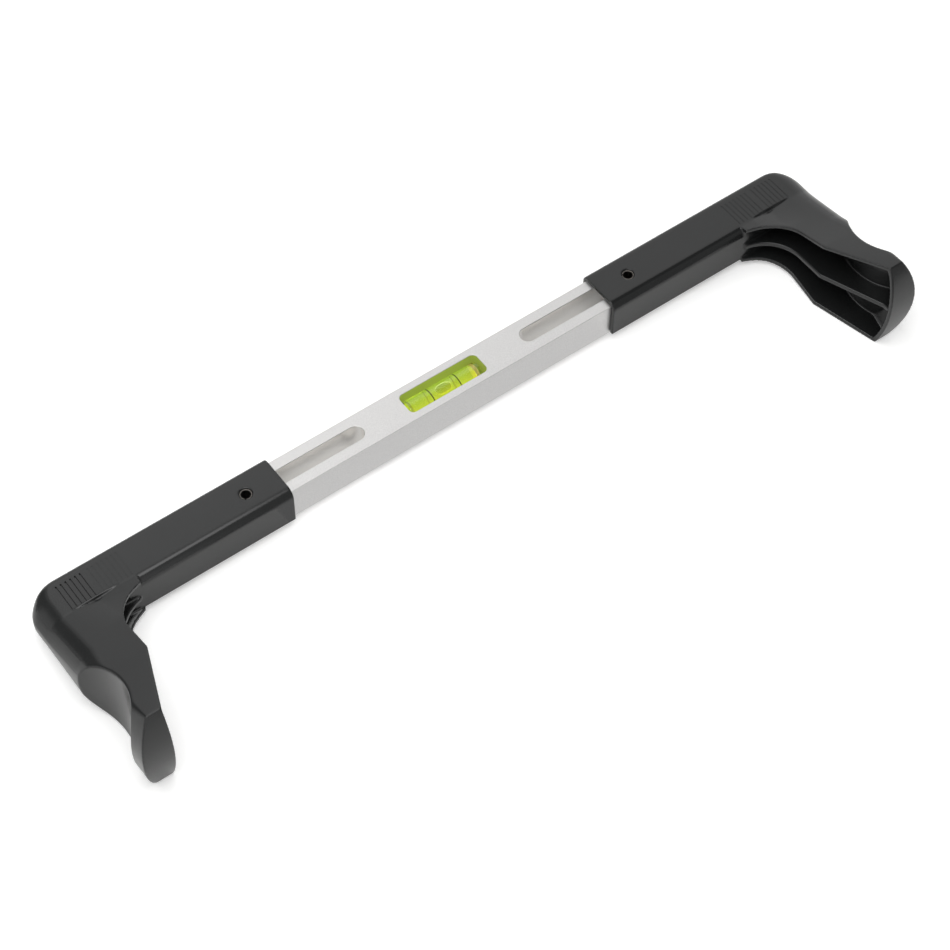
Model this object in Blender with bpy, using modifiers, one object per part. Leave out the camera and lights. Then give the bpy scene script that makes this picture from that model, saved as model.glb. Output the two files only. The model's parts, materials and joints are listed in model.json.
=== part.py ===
# Steering wheel level: an aluminium bar with a spirit vial in its middle, and
# two hooked plastic arms that slide on the bar's ends.
#
# The level is modelled in its own frame, with X along the bar, the arms
# reaching towards -Y and the bar's top face up. One empty then lays that frame
# on the table, where it stands on the bar's rear edge and the two hook tips.

import math

import bmesh
import bpy
from mathutils import Matrix, Vector

MM = 0.001

# Bar
BAR_LENGTH = 290.0 * MM
BAR_WIDTH = 20.0 * MM
BAR_HEIGHT = 20.0 * MM
BAR_EDGE = 0.4 * MM              # chamfer along the bar's edges
SLOT_START = 46.0 * MM           # bar centre to the slot's inner end
SLOT_END_WALL = 20.0 * MM        # solid metal past the slot's outer end

# Spirit vial, lying in a pocket in the bar's top face
VIAL_LENGTH = 41.6 * MM
VIAL_RADIUS = 5.7 * MM
VIAL_BORE = 4.3 * MM
VIAL_DEPTH = 7.25 * MM           # bar's top face down to the vial's axis
VIAL_END_WALL = 2.0 * MM
POCKET_SIDE_GAP = 0.35 * MM
POCKET_CORNER = 2.6 * MM
BOND_THICKNESS = 0.9 * MM        # adhesive pad between vial end and pocket
BOND_WIDTH = 8.0 * MM
BOND_HEIGHT = 5.0 * MM
PLUG_LENGTH = 3.4 * MM
RING_SPACING = 15.6 * MM
RING_WIDTH = 0.5 * MM
RING_THICKNESS = 0.3 * MM
BUBBLE_LENGTH = 8.9 * MM
BUBBLE_WIDTH = 4.6 * MM
BUBBLE_HEIGHT = 2.1 * MM
BUBBLE_TRAVEL = 10.0 * MM        # either way along the vial

# Sleeve of an arm, a channel that is open underneath
SLEEVE_WALL = 2.0 * MM
SLEEVE_CLEARANCE = 0.3 * MM
SLEEVE_EDGE = 3.1 * MM           # radius along the sleeve's top edges
SLEEVE_LIFT = 0.7 * MM           # the side walls stop this far above the bar's underside
PULL_OUT = 9.7 * MM              # how far the stored arm can still be pulled out
PIN_OFFSET = 18.0 * MM           # sleeve mouth to the roll pin
BAR_END_CLEARANCE = 5.5 * MM     # bar end to the channel's end, pushed right in

# Roll pin and the split boss that it spreads
PIN_RADIUS = 3.0 * MM
PIN_WALL = 0.75 * MM
PIN_SLIT = 0.9 * MM
PIN_RECESS = 0.5 * MM            # pin top below the sleeve's top
PIN_FIT = 0.15 * MM
BOSS_WALL = 0.85 * MM
BOSS_CLEARANCE = 0.3 * MM
FOOT_STEP = 1.5 * MM             # foot stands this far out past the boss
FOOT_HEIGHT = 1.8 * MM
FOOT_RELIEF = 3.2 * MM           # depth of the wider slot under the bar
BOSS_SLIT = 1.2 * MM
BOSS_SLIT_DEPTH = 9.0 * MM
MOUTH_STEP = 0.5 * MM            # depth of the countersink round the pin hole

# Hook of an arm: places along X are measured inwards from its outermost point
CORNER_DEPTH = 11.8 * MM         # channel's end to the hook's outermost point
RIM_INSET = 30.3 * MM            # open rim beside the kink
TIP_RIM_INSET = 17.6 * MM        # open rim at the tip
EDGE_INSET = 4.3 * MM            # top face's outer edge
TIP_EDGE_INSET = 9.8 * MM
TIP_SPREAD_BELOW = 1.2 * MM      # the underside's outer edge stands this far past it at the tip
KINK_INSET = 1.0 * MM            # the outer wall's middle beside the kink
TIP_INSET = 1.9 * MM             # the same at the tip
FILLET_INSET = 48.0 * MM         # where the rim leaves the sleeve's front wall
FILLET_RADIUS = 20.4 * MM
FILLET_END_DROP = 33.9 * MM
KINK_DROP = 49.2 * MM
HOOK_DROP = 82.1 * MM            # bar axis to the tip's corners
CREASE_DROP = 8.5 * MM           # where the hook's faces start to flare
TIP_FLARE = 16.8 * MM            # what the top face has risen by at the tip
TIP_FLARE_BELOW = 18.0 * MM      # what the underside has fallen by there
KINK_LIFT = 1.7 * MM             # both faces spread this much further at the rim's kink
HOOK_WALL = 2.3 * MM
CORNER_BLEND = 8.0 * MM          # rounding between top face and outer wall
EDGE_BLEND = 10.0 * MM           # the same beside the fillet's end
EDGE_BLEND_SHARE = 0.75          # the most that it takes of the wall's height
TIP_EDGE_BLEND = 0.8 * MM
TIP_BULGE = 5.9 * MM
RIB_THICKNESS = 2.6 * MM         # the rib lies in the plane of the bar's axis
RIB_SETBACK = 1.0 * MM
CORNER_RADIUS = 13.5 * MM        # plan radius of the outer corner at mid height
CORNER_EDGE_RADIUS = 10.5 * MM   # the same along the top face's edge
CORNER_EDGE_DEPTH = 8.6 * MM

# Thumb scoop in the hook's outer wall
SCOOP_RADIUS = 27.6 * MM
SCOOP_INSET = 12.1 * MM          # at the top face
SCOOP_DROP = 57.5 * MM
SCOOP_LEAN_SHARE = 0.045         # how much shallower it gets on its way down

# Grip grooves across the sleeve
GROOVE_INSET = 16.1 * MM
GROOVE_PITCH = 2.45 * MM
GROOVE_BLOCK_GAP = 4.0 * MM
GROOVE_WIDTH = 0.6 * MM
GROOVE_DEPTH = 0.4 * MM
GROOVE_LENGTH = 14.6 * MM
GROOVE_COUNTS = (6, 7)

SEAT_GAP = 0.3 * MM              # between pieces that touch
OVERRUN = 4.0 * MM               # how far a cutter runs past what it cuts
MERGE = 0.001 * MM

# Facets
ROUND_FACETS = 40
PIN_FACETS = 24
SCOOP_FACETS = 96
TIP_FACETS = 120
ARC_STEPS = 5
FILLET_STEPS = 7
WALL_STEPS = 8
BLEND_STEPS = 4

# Directions of the roll pins' slits, in plan
PIN_SLIT_TURNS = {"left": math.radians(-126.0), "right": math.radians(144.0)}
SIDES = {"left": -1, "right": 1}

# Worked out from the sizes above: bar and vial
bar_top = BAR_HEIGHT / 2
bar_half = BAR_LENGTH / 2
boss_bore = PIN_RADIUS + PIN_FIT
boss_radius = boss_bore + BOSS_WALL
foot_radius = boss_radius + FOOT_STEP
slot_half = boss_radius + BOSS_CLEARANCE
relief_half = foot_radius + BOSS_CLEARANCE
slot_end = bar_half - SLOT_END_WALL
vial_z = bar_top - VIAL_DEPTH
vial_half = VIAL_LENGTH / 2
pocket_half_length = vial_half + BOND_THICKNESS + 2 * SEAT_GAP
pocket_half_width = VIAL_RADIUS + POCKET_SIDE_GAP
pocket_floor = vial_z - VIAL_RADIUS - SEAT_GAP
bore_left = -vial_half + VIAL_END_WALL
plug_face = vial_half - PLUG_LENGTH

# Worked out: arms, along the bar from the sleeve's mouth
pin_rest = slot_end - slot_half - PULL_OUT
arm_reach = pin_rest - PIN_OFFSET
push_in = pin_rest - (SLOT_START + slot_half)
arm_length = bar_half - (arm_reach - push_in) + BAR_END_CLEARANCE + CORNER_DEPTH
channel_end = arm_length - CORNER_DEPTH
channel_half = BAR_WIDTH / 2 + SLEEVE_CLEARANCE
channel_top = bar_top + SLEEVE_CLEARANCE
sleeve_half = channel_half + SLEEVE_WALL
sleeve_top = channel_top + SLEEVE_WALL
sleeve_bottom = -bar_top + SLEEVE_LIFT
hook_mid = (sleeve_top + sleeve_bottom) / 2
sleeve_rise = sleeve_top - hook_mid
rim_line = arm_length - RIM_INSET
fillet_start = arm_length - FILLET_INSET
tip_rise = sleeve_rise + TIP_FLARE
tip_fall = sleeve_rise + TIP_FLARE_BELOW
tip_half_height = (tip_rise + tip_fall) / 2
tip_middle = hook_mid + (tip_rise - tip_fall) / 2
tip_radius = (tip_half_height ** 2 + TIP_BULGE ** 2) / (2 * TIP_BULGE)
tip_centre_y = -HOOK_DROP - TIP_BULGE + tip_radius
scoop_u = arm_length - SCOOP_INSET + SCOOP_RADIUS


def clear_scene():
    for old in list(bpy.data.objects):
        bpy.data.objects.remove(old, do_unlink=True)


def new_collection(name):
    collection = bpy.data.collections.new(name)
    bpy.context.scene.collection.children.link(collection)
    return collection


def new_material(name, color, roughness, metallic=0.0, transmission=0.0):
    material = bpy.data.materials.new(name)
    material.use_nodes = True
    shader = material.node_tree.nodes["Principled BSDF"]
    shader.inputs["Base Color"].default_value = (*color, 1.0)
    shader.inputs["Roughness"].default_value = roughness
    shader.inputs["Metallic"].default_value = metallic
    shader.inputs["Transmission Weight"].default_value = transmission
    material.diffuse_color = (*color, 1.0)
    return material


def mesh_object(name, shape, collection, parent, x=0.0, material=None):
    """An object from a bmesh, placed along the bar under the level's frame."""
    mesh = bpy.data.meshes.new(name)
    shape.to_mesh(mesh)
    shape.free()
    made = bpy.data.objects.new(name, mesh)
    collection.objects.link(made)
    made.parent = parent
    made.location = (x, 0, 0)
    if material:
        mesh.materials.append(material)
        mesh.shade_smooth()
        mesh.set_sharp_from_angle(angle=math.radians(30))
    else:
        made.hide_render = True
        made.display_type = "WIRE"
    return made


def combine(target, other, operation):
    step = target.modifiers.new(f"{operation} {other.name}", "BOOLEAN")
    step.operation = operation
    step.object = other
    step.solver = "EXACT"


def box(low, high):
    """A box between two corners."""
    shape = bmesh.new()
    bmesh.ops.create_cube(shape, size=1)
    low, high = Vector(low), Vector(high)
    bmesh.ops.scale(shape, vec=high - low, verts=shape.verts)
    bmesh.ops.translate(shape, vec=(low + high) / 2, verts=shape.verts)
    return shape


def cylinder(radius, start, end, facets, end_radius=None):
    """A cylinder or cone from one point to another."""
    start, end = Vector(start), Vector(end)
    along = end - start
    turn = Vector((0, 0, 1)).rotation_difference(along.normalized()).to_matrix().to_4x4()
    shape = bmesh.new()
    bmesh.ops.create_cone(
        shape, cap_ends=True, segments=facets, radius1=radius,
        radius2=radius if end_radius is None else end_radius, depth=along.length,
        matrix=Matrix.Translation((start + end) / 2) @ turn)
    return shape


def prism(outline, depth):
    """A closed outline of 3-D points, pushed along a vector."""
    shape = bmesh.new()
    face = shape.faces.new([shape.verts.new(point) for point in outline])
    pushed = bmesh.ops.extrude_face_region(shape, geom=[face])
    moved = [part for part in pushed["geom"] if isinstance(part, bmesh.types.BMVert)]
    bmesh.ops.translate(shape, vec=depth, verts=moved)
    bmesh.ops.recalc_face_normals(shape, faces=shape.faces)
    return shape


def loft(sections):
    """A closed solid through sections that have equally many points."""
    shape = bmesh.new()
    rings = [[shape.verts.new(point) for point in section] for section in sections]
    for ring, following in zip(rings, rings[1:]):
        for k in range(len(ring)):
            after = (k + 1) % len(ring)
            shape.faces.new((ring[k], ring[after], following[after], following[k]))
    shape.faces.new(rings[0])
    shape.faces.new(rings[-1])
    bmesh.ops.remove_doubles(shape, verts=shape.verts, dist=MERGE)
    bmesh.ops.triangulate(shape, faces=shape.faces)
    bmesh.ops.recalc_face_normals(shape, faces=shape.faces)
    return shape


def mirrored(shape, side):
    """The shape as it is for the right arm, or turned over for the left."""
    if side < 0:
        bmesh.ops.scale(shape, vec=(-1, 1, 1), verts=shape.verts)
        bmesh.ops.reverse_faces(shape, faces=shape.faces)
    return shape


def arc(centre, radius, start, end, steps):
    """Points on an arc in two dimensions, ends included."""
    turns = [start + (end - start) * k / steps for k in range(steps + 1)]
    return [(centre[0] + radius * math.cos(turn), centre[1] + radius * math.sin(turn))
            for turn in turns]


def rounded_slot(half_length, half_width, radius, middle):
    """Plan outline of a slot or window along X, with rounded corners."""
    outline = []
    for k, (x_sign, y_sign) in enumerate(((1, 1), (-1, 1), (-1, -1), (1, -1))):
        centre = (middle + x_sign * (half_length - radius), y_sign * (half_width - radius))
        outline += arc(centre, radius, k * math.pi / 2, (k + 1) * math.pi / 2, ARC_STEPS + 1)
    return outline


def slot_cutter(half_length, half_width, radius, middle, low, high):
    outline = rounded_slot(half_length, half_width, radius, middle)
    shape = prism([(x, y, low) for x, y in outline], (0, 0, high - low))
    bmesh.ops.remove_doubles(shape, verts=shape.verts, dist=MERGE)
    return shape


def make_bar(parts, cutters, frame, material):
    bar = mesh_object(
        "bar", box((-bar_half, -BAR_WIDTH / 2, -bar_top), (bar_half, BAR_WIDTH / 2, bar_top)),
        parts, frame, 0.0, material)
    edges = bar.modifiers.new("broken edges", "BEVEL")
    edges.width = BAR_EDGE
    edges.segments = 1
    pocket = slot_cutter(pocket_half_length, pocket_half_width, POCKET_CORNER, 0.0,
                         pocket_floor, bar_top + OVERRUN)
    combine(bar, mesh_object("pocket cutter", pocket, cutters, frame), "DIFFERENCE")
    slot_half_length = (slot_end - SLOT_START) / 2
    slot_middle = (slot_end + SLOT_START) / 2
    relief_half_length = slot_half_length + relief_half - slot_half
    for name, side in SIDES.items():
        slot = slot_cutter(slot_half_length, slot_half, slot_half, side * slot_middle,
                           -bar_top - OVERRUN, bar_top + OVERRUN)
        relief = slot_cutter(relief_half_length, relief_half, relief_half, side * slot_middle,
                             -bar_top - OVERRUN, -bar_top + FOOT_RELIEF)
        combine(bar, mesh_object(f"{name} slot cutter", slot, cutters, frame), "DIFFERENCE")
        combine(bar, mesh_object(f"{name} relief cutter", relief, cutters, frame), "DIFFERENCE")
    return bar


def make_vial(parts, cutters, frame, materials):
    def along(radius, start, end):
        return cylinder(radius, (start, 0, vial_z), (end, 0, vial_z), ROUND_FACETS)

    tube = mesh_object("vial_tube", along(VIAL_RADIUS, -vial_half, vial_half),
                       parts, frame, 0.0, materials["clear acrylic"])
    bore = along(VIAL_BORE, bore_left, vial_half + OVERRUN)
    combine(tube, mesh_object("vial bore cutter", bore, cutters, frame), "DIFFERENCE")

    ring_inner = VIAL_RADIUS - RING_THICKNESS
    groove_half = RING_WIDTH / 2 + SEAT_GAP
    for name, side in SIDES.items():
        middle = side * RING_SPACING / 2
        start, end = middle - RING_WIDTH / 2, middle + RING_WIDTH / 2
        ring = mesh_object(f"vial_ring_{name}", along(VIAL_RADIUS, start, end),
                           parts, frame, 0.0, materials["black print"])
        hole = along(ring_inner, start - OVERRUN, end + OVERRUN)
        combine(ring, mesh_object(f"{name} ring hole cutter", hole, cutters, frame), "DIFFERENCE")
        groove = mesh_object(f"{name} ring groove cutter",
                             along(VIAL_RADIUS + OVERRUN, middle - groove_half, middle + groove_half),
                             cutters, frame)
        core = along(ring_inner - SEAT_GAP, middle - OVERRUN, middle + OVERRUN)
        combine(groove, mesh_object(f"{name} ring groove core", core, cutters, frame), "DIFFERENCE")
        combine(tube, groove, "DIFFERENCE")
        bond_end = side * (vial_half + SEAT_GAP)
        bond_wall = bond_end + side * BOND_THICKNESS
        bond = box((min(bond_end, bond_wall), -BOND_WIDTH / 2, pocket_floor + SEAT_GAP),
                   (max(bond_end, bond_wall), BOND_WIDTH / 2, pocket_floor + SEAT_GAP + BOND_HEIGHT))
        mesh_object(f"vial_bond_{name}", bond, parts, frame, 0.0, materials["adhesive"])

    inner = VIAL_BORE - SEAT_GAP
    mesh_object("vial_plug", along(inner, plug_face, vial_half), parts, frame, 0.0,
                materials["plug"])
    liquid = mesh_object("vial_liquid", along(inner, bore_left + SEAT_GAP, plug_face - SEAT_GAP),
                         parts, frame, 0.0, materials["liquid"])
    bubble_z = vial_z + inner - BUBBLE_HEIGHT / 2
    lane_floor = bubble_z - BUBBLE_HEIGHT / 2 - SEAT_GAP
    lane_half = BUBBLE_LENGTH / 2 + BUBBLE_TRAVEL + SEAT_GAP
    lane = box((-lane_half, -VIAL_RADIUS, lane_floor),
               (lane_half, VIAL_RADIUS, vial_z + VIAL_RADIUS))
    combine(liquid, mesh_object("air lane cutter", lane, cutters, frame), "DIFFERENCE")

    bubble = bmesh.new()
    bmesh.ops.create_uvsphere(bubble, u_segments=PIN_FACETS, v_segments=PIN_FACETS // 2, radius=0.5)
    bmesh.ops.rotate(bubble, matrix=Matrix.Rotation(math.pi / 2, 3, "Y"), verts=bubble.verts)
    bmesh.ops.scale(bubble, vec=(BUBBLE_LENGTH, BUBBLE_WIDTH, BUBBLE_HEIGHT), verts=bubble.verts)
    bmesh.ops.translate(bubble, vec=(0, 0, bubble_z), verts=bubble.verts)
    mesh_object("vial_bubble", bubble, parts, frame, 0.0, materials["air"])


def way(y, start, end):
    """How far a place has come on its way towards the tip, from 0 at start to 1 at end."""
    return min(max((-y - start) / (end - start), 0), 1)


def rim(y):
    """The open rim of a hook, along X, at a place across the bar."""
    if y > -FILLET_END_DROP:
        off = min(y + FILLET_END_DROP, FILLET_RADIUS)
        fillet = rim_line - FILLET_RADIUS + math.sqrt(FILLET_RADIUS ** 2 - off ** 2)
        return max(fillet, fillet_start)
    return rim_line + way(y, KINK_DROP, HOOK_DROP) * (RIM_INSET - TIP_RIM_INSET)


def quarter(y, centre, radius, depth):
    """How far a plan corner has fallen back from its straight wall."""
    reach = min(max((y - centre) / radius, 0), 1)
    return depth * (1 - math.sqrt(1 - reach ** 2))


def bulge_line(y):
    """The outer wall at mid height, in plan."""
    centre = sleeve_half - CORNER_RADIUS
    taper = way(y, 0, KINK_DROP) * KINK_INSET
    taper += way(y, KINK_DROP, HOOK_DROP) * (TIP_INSET - KINK_INSET)
    return arm_length - taper - quarter(y, centre, CORNER_RADIUS, CORNER_RADIUS)


def edge_line(y):
    """The outer edge of the top face, in plan."""
    inset = EDGE_INSET + way(y, KINK_DROP, HOOK_DROP) * (TIP_EDGE_INSET - EDGE_INSET)
    corner = quarter(y, sleeve_half - CORNER_EDGE_RADIUS, CORNER_EDGE_RADIUS, CORNER_EDGE_DEPTH)
    return min(arm_length - inset - corner, bulge_line(y) - SEAT_GAP)


def rise(y):
    """Height of the hook's top face above its mid plane."""
    past = max(y - (sleeve_half - SLEEVE_EDGE), 0)
    rounding = SLEEVE_EDGE - math.sqrt(max(SLEEVE_EDGE ** 2 - past ** 2, 0))
    return sleeve_rise - rounding + way(y, CREASE_DROP, HOOK_DROP) * TIP_FLARE


def fall(y):
    """Depth of the hook's underside below its mid plane."""
    return sleeve_rise + way(y, CREASE_DROP, HOOK_DROP) * TIP_FLARE_BELOW


def rim_lift(y, inner, start):
    """How far a face still climbs from the start of its rounding in to a place near the rim."""
    lift = KINK_LIFT * min(way(y, CREASE_DROP, KINK_DROP), 1 - way(y, KINK_DROP, HOOK_DROP))
    return lift * (start - inner) / (start - rim(y))


def outer_side(height, edge, bulge, blend):
    """The outer wall from the top face to mid height, as offsets from the mid plane."""
    sag = min(bulge - edge, height)
    radius = (height ** 2 + sag ** 2) / (2 * sag)

    def wall(level):
        return bulge - radius + math.sqrt(radius ** 2 - level ** 2)

    blend = min(blend, height * EDGE_BLEND_SHARE)
    start = Vector((edge - blend, height))
    corner = Vector((edge, height))
    end = Vector((wall(height - blend), height - blend))
    shares = [k / BLEND_STEPS for k in range(BLEND_STEPS + 1)]
    side = [start.lerp(corner, share).lerp(corner.lerp(end, share), share) for share in shares]
    levels = [(height - blend) * (1 - k / WALL_STEPS) for k in range(1, WALL_STEPS + 1)]
    return [tuple(point) for point in side] + [(wall(level), level) for level in levels]


def hook_section(y, inner, inset):
    """One cross-section of a hook, drawn in by a wall thickness."""
    blend = CORNER_BLEND + way(y, 0, FILLET_END_DROP) * (EDGE_BLEND - CORNER_BLEND)
    blend += way(y, FILLET_END_DROP, HOOK_DROP) * (TIP_EDGE_BLEND - EDGE_BLEND)
    edge, bulge = edge_line(y) - inset, bulge_line(y) - inset
    blend = min(max(blend - inset, TIP_EDGE_BLEND), (edge - inner) / 2)
    above = outer_side(rise(y) - inset, edge, bulge, blend)
    spread = way(y, KINK_DROP, HOOK_DROP) * TIP_SPREAD_BELOW
    below = outer_side(fall(y) - inset, edge + spread, bulge, blend)[:-1]
    lift = rim_lift(y, inner, above[0][0])
    outline = [(inner, rise(y) - inset + lift)] + above
    outline += [(u, -level) for u, level in reversed(below)]
    outline.append((inner, inset - fall(y) - lift))
    return [(u, y, hook_mid + level) for u, level in outline]


def hook_places(start):
    """Places across the bar where a hook's cross-sections stand."""
    rear = [y for y, _ in arc((sleeve_half - SLEEVE_EDGE, 0), SLEEVE_EDGE, 0, math.pi / 2, ARC_STEPS)]
    corner = [y for _, y in arc((0, sleeve_half - CORNER_RADIUS), CORNER_RADIUS,
                                math.pi / 4, 0, ARC_STEPS)]
    front = [-CREASE_DROP, -sleeve_half]
    fillet = [FILLET_RADIUS * math.sin(math.pi / 2 * k / FILLET_STEPS) - FILLET_END_DROP
              for k in range(FILLET_STEPS)]
    straight = [-KINK_DROP, -(KINK_DROP + HOOK_DROP) / 2, -HOOK_DROP,
                -HOOK_DROP - TIP_BULGE - OVERRUN]
    places = sorted(set(rear + corner + front + fillet + straight), reverse=True)
    kept = [start] + [y for y in places if y < start - SEAT_GAP]
    return [y for k, y in enumerate(kept) if k == 0 or kept[k - 1] - y > SEAT_GAP / 2]


def sleeve_outline():
    """Cross-section of the sleeve, with rounded top edges."""
    middle = sleeve_half - SLEEVE_EDGE
    height = sleeve_top - SLEEVE_EDGE
    rear = arc((middle, height), SLEEVE_EDGE, 0, math.pi / 2, ARC_STEPS)
    front = arc((-middle, height), SLEEVE_EDGE, math.pi / 2, math.pi, ARC_STEPS)
    return rear + front + [(-sleeve_half, sleeve_bottom), (sleeve_half, sleeve_bottom)]


def tip_cylinder(radius):
    return cylinder(radius, (-OVERRUN, tip_centre_y, tip_middle),
                    (arm_length + OVERRUN, tip_centre_y, tip_middle), TIP_FACETS)


def scoop_cylinder(radius):
    reach = tip_half_height + OVERRUN
    low_u, high_u = [scoop_u + (rise(-SCOOP_DROP) - level) * SCOOP_LEAN_SHARE
                     for level in (-reach, reach)]
    return cylinder(radius, (low_u, -SCOOP_DROP, hook_mid - reach),
                    (high_u, -SCOOP_DROP, hook_mid + reach), SCOOP_FACETS)


def rib_section(y):
    low, high = -RIB_THICKNESS / 2, RIB_THICKNESS / 2
    inner, outer = rim(y) + RIB_SETBACK, arm_length + OVERRUN
    return [(inner, y, high), (outer, y, high), (outer, y, low), (inner, y, low)]


def groove_places():
    """Middles of the grip grooves along the arm."""
    places = []
    place = arm_length - GROOVE_INSET
    for count in GROOVE_COUNTS:
        places += [place - k * GROOVE_PITCH for k in range(count)]
        place = places[-1] - GROOVE_BLOCK_GAP
    return places


def make_arm(name, side, parts, cutters, frame, material):
    mouth = side * arm_reach

    def cutter(label, shape):
        return mesh_object(f"{name} {label}", mirrored(shape, side), cutters, frame, mouth)

    outer = loft([hook_section(y, max(rim(y), fillet_start), 0.0) for y in hook_places(sleeve_half)])
    arm = mesh_object(f"{name}_arm", mirrored(outer, side), parts, frame, mouth, material)
    combine(arm, cutter("tip", tip_cylinder(tip_radius)), "INTERSECT")
    combine(arm, cutter("scoop", scoop_cylinder(SCOOP_RADIUS)), "DIFFERENCE")
    sleeve = prism([(0.0, y, z) for y, z in sleeve_outline()], (fillet_start + SEAT_GAP, 0, 0))
    combine(arm, cutter("sleeve", sleeve), "UNION")

    # The hook's hollow, in two rooms with the middle rib between them
    hollow = cutter("hollow", loft([hook_section(y, fillet_start - OVERRUN, HOOK_WALL)
                                    for y in hook_places(-sleeve_half)]))
    combine(hollow, cutter("hollow tip", tip_cylinder(tip_radius - HOOK_WALL)), "INTERSECT")
    combine(hollow, cutter("hollow scoop", scoop_cylinder(SCOOP_RADIUS + HOOK_WALL)), "DIFFERENCE")
    rib_places = hook_places(-sleeve_half + SLEEVE_WALL)
    combine(hollow, cutter("rib", loft([rib_section(y) for y in rib_places])), "DIFFERENCE")
    combine(arm, hollow, "DIFFERENCE")

    # The channel for the bar, and its room in the corner
    corner = [hook_section(y, channel_end - CORNER_DEPTH, HOOK_WALL)
              for y in hook_places(channel_half) if y > -channel_half]
    corner.append(hook_section(-channel_half, channel_end - CORNER_DEPTH, HOOK_WALL))
    combine(arm, cutter("corner room", loft(corner)), "DIFFERENCE")
    channel = box((-OVERRUN, -channel_half, sleeve_bottom - OVERRUN),
                  (channel_end, channel_half, channel_top))
    combine(arm, cutter("channel", channel), "DIFFERENCE")

    # The split boss that runs in the bar's slot, with its foot
    foot_top = -bar_top + FOOT_RELIEF - SEAT_GAP
    foot_end = foot_top - FOOT_HEIGHT
    boss = cylinder(boss_radius, (PIN_OFFSET, 0, foot_end),
                    (PIN_OFFSET, 0, channel_top + SLEEVE_WALL / 2), ROUND_FACETS)
    foot = cylinder(foot_radius - FOOT_STEP / 2, (PIN_OFFSET, 0, foot_end),
                    (PIN_OFFSET, 0, foot_top), ROUND_FACETS, foot_radius)
    combine(arm, cutter("boss", boss), "UNION")
    combine(arm, cutter("foot", foot), "UNION")
    for label, run_x, run_y in (("slit along", foot_radius, BOSS_SLIT / 2),
                                ("slit across", BOSS_SLIT / 2, foot_radius)):
        slit = box((PIN_OFFSET - run_x - SEAT_GAP, -run_y - SEAT_GAP, foot_end - OVERRUN),
                   (PIN_OFFSET + run_x + SEAT_GAP, run_y + SEAT_GAP, foot_end + BOSS_SLIT_DEPTH))
        combine(arm, cutter(label, slit), "DIFFERENCE")
    rings = ((boss_bore, foot_end - OVERRUN), (boss_bore, sleeve_top - MOUTH_STEP),
             (boss_bore + 2 * MOUTH_STEP, sleeve_top + MOUTH_STEP))
    hole = loft([[(x, y, level) for x, y in
                  arc((PIN_OFFSET, 0), radius, 0, 2 * math.pi, ROUND_FACETS)[1:]]
                 for radius, level in rings])
    combine(arm, cutter("pin hole", hole), "DIFFERENCE")

    for k, place in enumerate(groove_places()):
        groove = box((place - GROOVE_WIDTH / 2, -GROOVE_LENGTH / 2, sleeve_top - GROOVE_DEPTH),
                     (place + GROOVE_WIDTH / 2, GROOVE_LENGTH / 2, sleeve_top + OVERRUN))
        combine(arm, cutter(f"groove {k + 1}", groove), "DIFFERENCE")
    return arm


def make_roll_pin(name, side, parts, arm, material):
    slit = math.asin(PIN_SLIT / 2 / PIN_RADIUS)
    turn = PIN_SLIT_TURNS[name]
    outside = arc((0, 0), PIN_RADIUS, turn + slit, turn + 2 * math.pi - slit, PIN_FACETS)
    inside = arc((0, 0), PIN_RADIUS - PIN_WALL, turn + 2 * math.pi - slit, turn + slit, PIN_FACETS)
    low = -bar_top + FOOT_RELIEF - SEAT_GAP - FOOT_HEIGHT
    high = sleeve_top - PIN_RECESS
    pin = prism([(x, y, low) for x, y in outside + inside], (0, 0, high - low))
    return mesh_object(f"{name}_roll_pin", pin, parts, arm, side * PIN_OFFSET, material)


def lay_on_table(frame):
    """Tip the level until the bar's rear edge and the hook tips carry it."""
    tip_y, tip_z = -HOOK_DROP, hook_mid - tip_fall
    rear_points = [(BAR_WIDTH / 2 - BAR_EDGE, -bar_top), (sleeve_half, sleeve_bottom)]
    slope = min((z - tip_z) / (y - tip_y) for y, z in rear_points)
    turn = -math.atan(slope)
    rear = ((sleeve_half - SLEEVE_EDGE) * math.cos(turn)
            - (sleeve_top - SLEEVE_EDGE) * math.sin(turn) + SLEEVE_EDGE)
    front = tip_centre_y * math.cos(turn) - tip_middle * math.sin(turn) - tip_radius
    frame.rotation_euler = (turn, 0, 0)
    frame.location = (0, -(rear + front) / 2, -(tip_y * math.sin(turn) + tip_z * math.cos(turn)))


def main():
    clear_scene()
    parts = new_collection("steering wheel level")
    cutters = new_collection("cutters")
    frame = bpy.data.objects.new("level_frame", None)
    parts.objects.link(frame)
    lay_on_table(frame)
    materials = {
        "aluminium": new_material("blasted aluminium", (0.71, 0.71, 0.70), 0.5, 1.0),
        "clear acrylic": new_material("clear acrylic", (0.86, 0.95, 0.60), 0.05, 0.0, 1.0),
        "liquid": new_material("yellow green spirit", (0.45, 0.72, 0.03), 0.05, 0.0, 0.9),
        "air": new_material("air bubble", (0.80, 0.92, 0.55), 0.02, 0.0, 1.0),
        "plug": new_material("vial plug", (0.47, 0.45, 0.12), 0.35, 0.0, 0.3),
        "black print": new_material("black ring", (0.01, 0.01, 0.01), 0.4),
        "adhesive": new_material("clear adhesive", (0.70, 0.76, 0.40), 0.3, 0.0, 0.6),
        "arm plastic": new_material("black moulded plastic", (0.065, 0.067, 0.067), 0.42),
        "pin steel": new_material("pin steel", (0.30, 0.30, 0.30), 0.4, 1.0),
    }
    make_bar(parts, cutters, frame, materials["aluminium"])
    make_vial(parts, cutters, frame, materials)
    for name, side in SIDES.items():
        arm = make_arm(name, side, parts, cutters, frame, materials["arm plastic"])
        make_roll_pin(name, side, parts, arm, materials["pin steel"])
    print(f"each arm slides in {push_in / MM:.1f} mm and out {PULL_OUT / MM:.1f} mm")


main()
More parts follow.
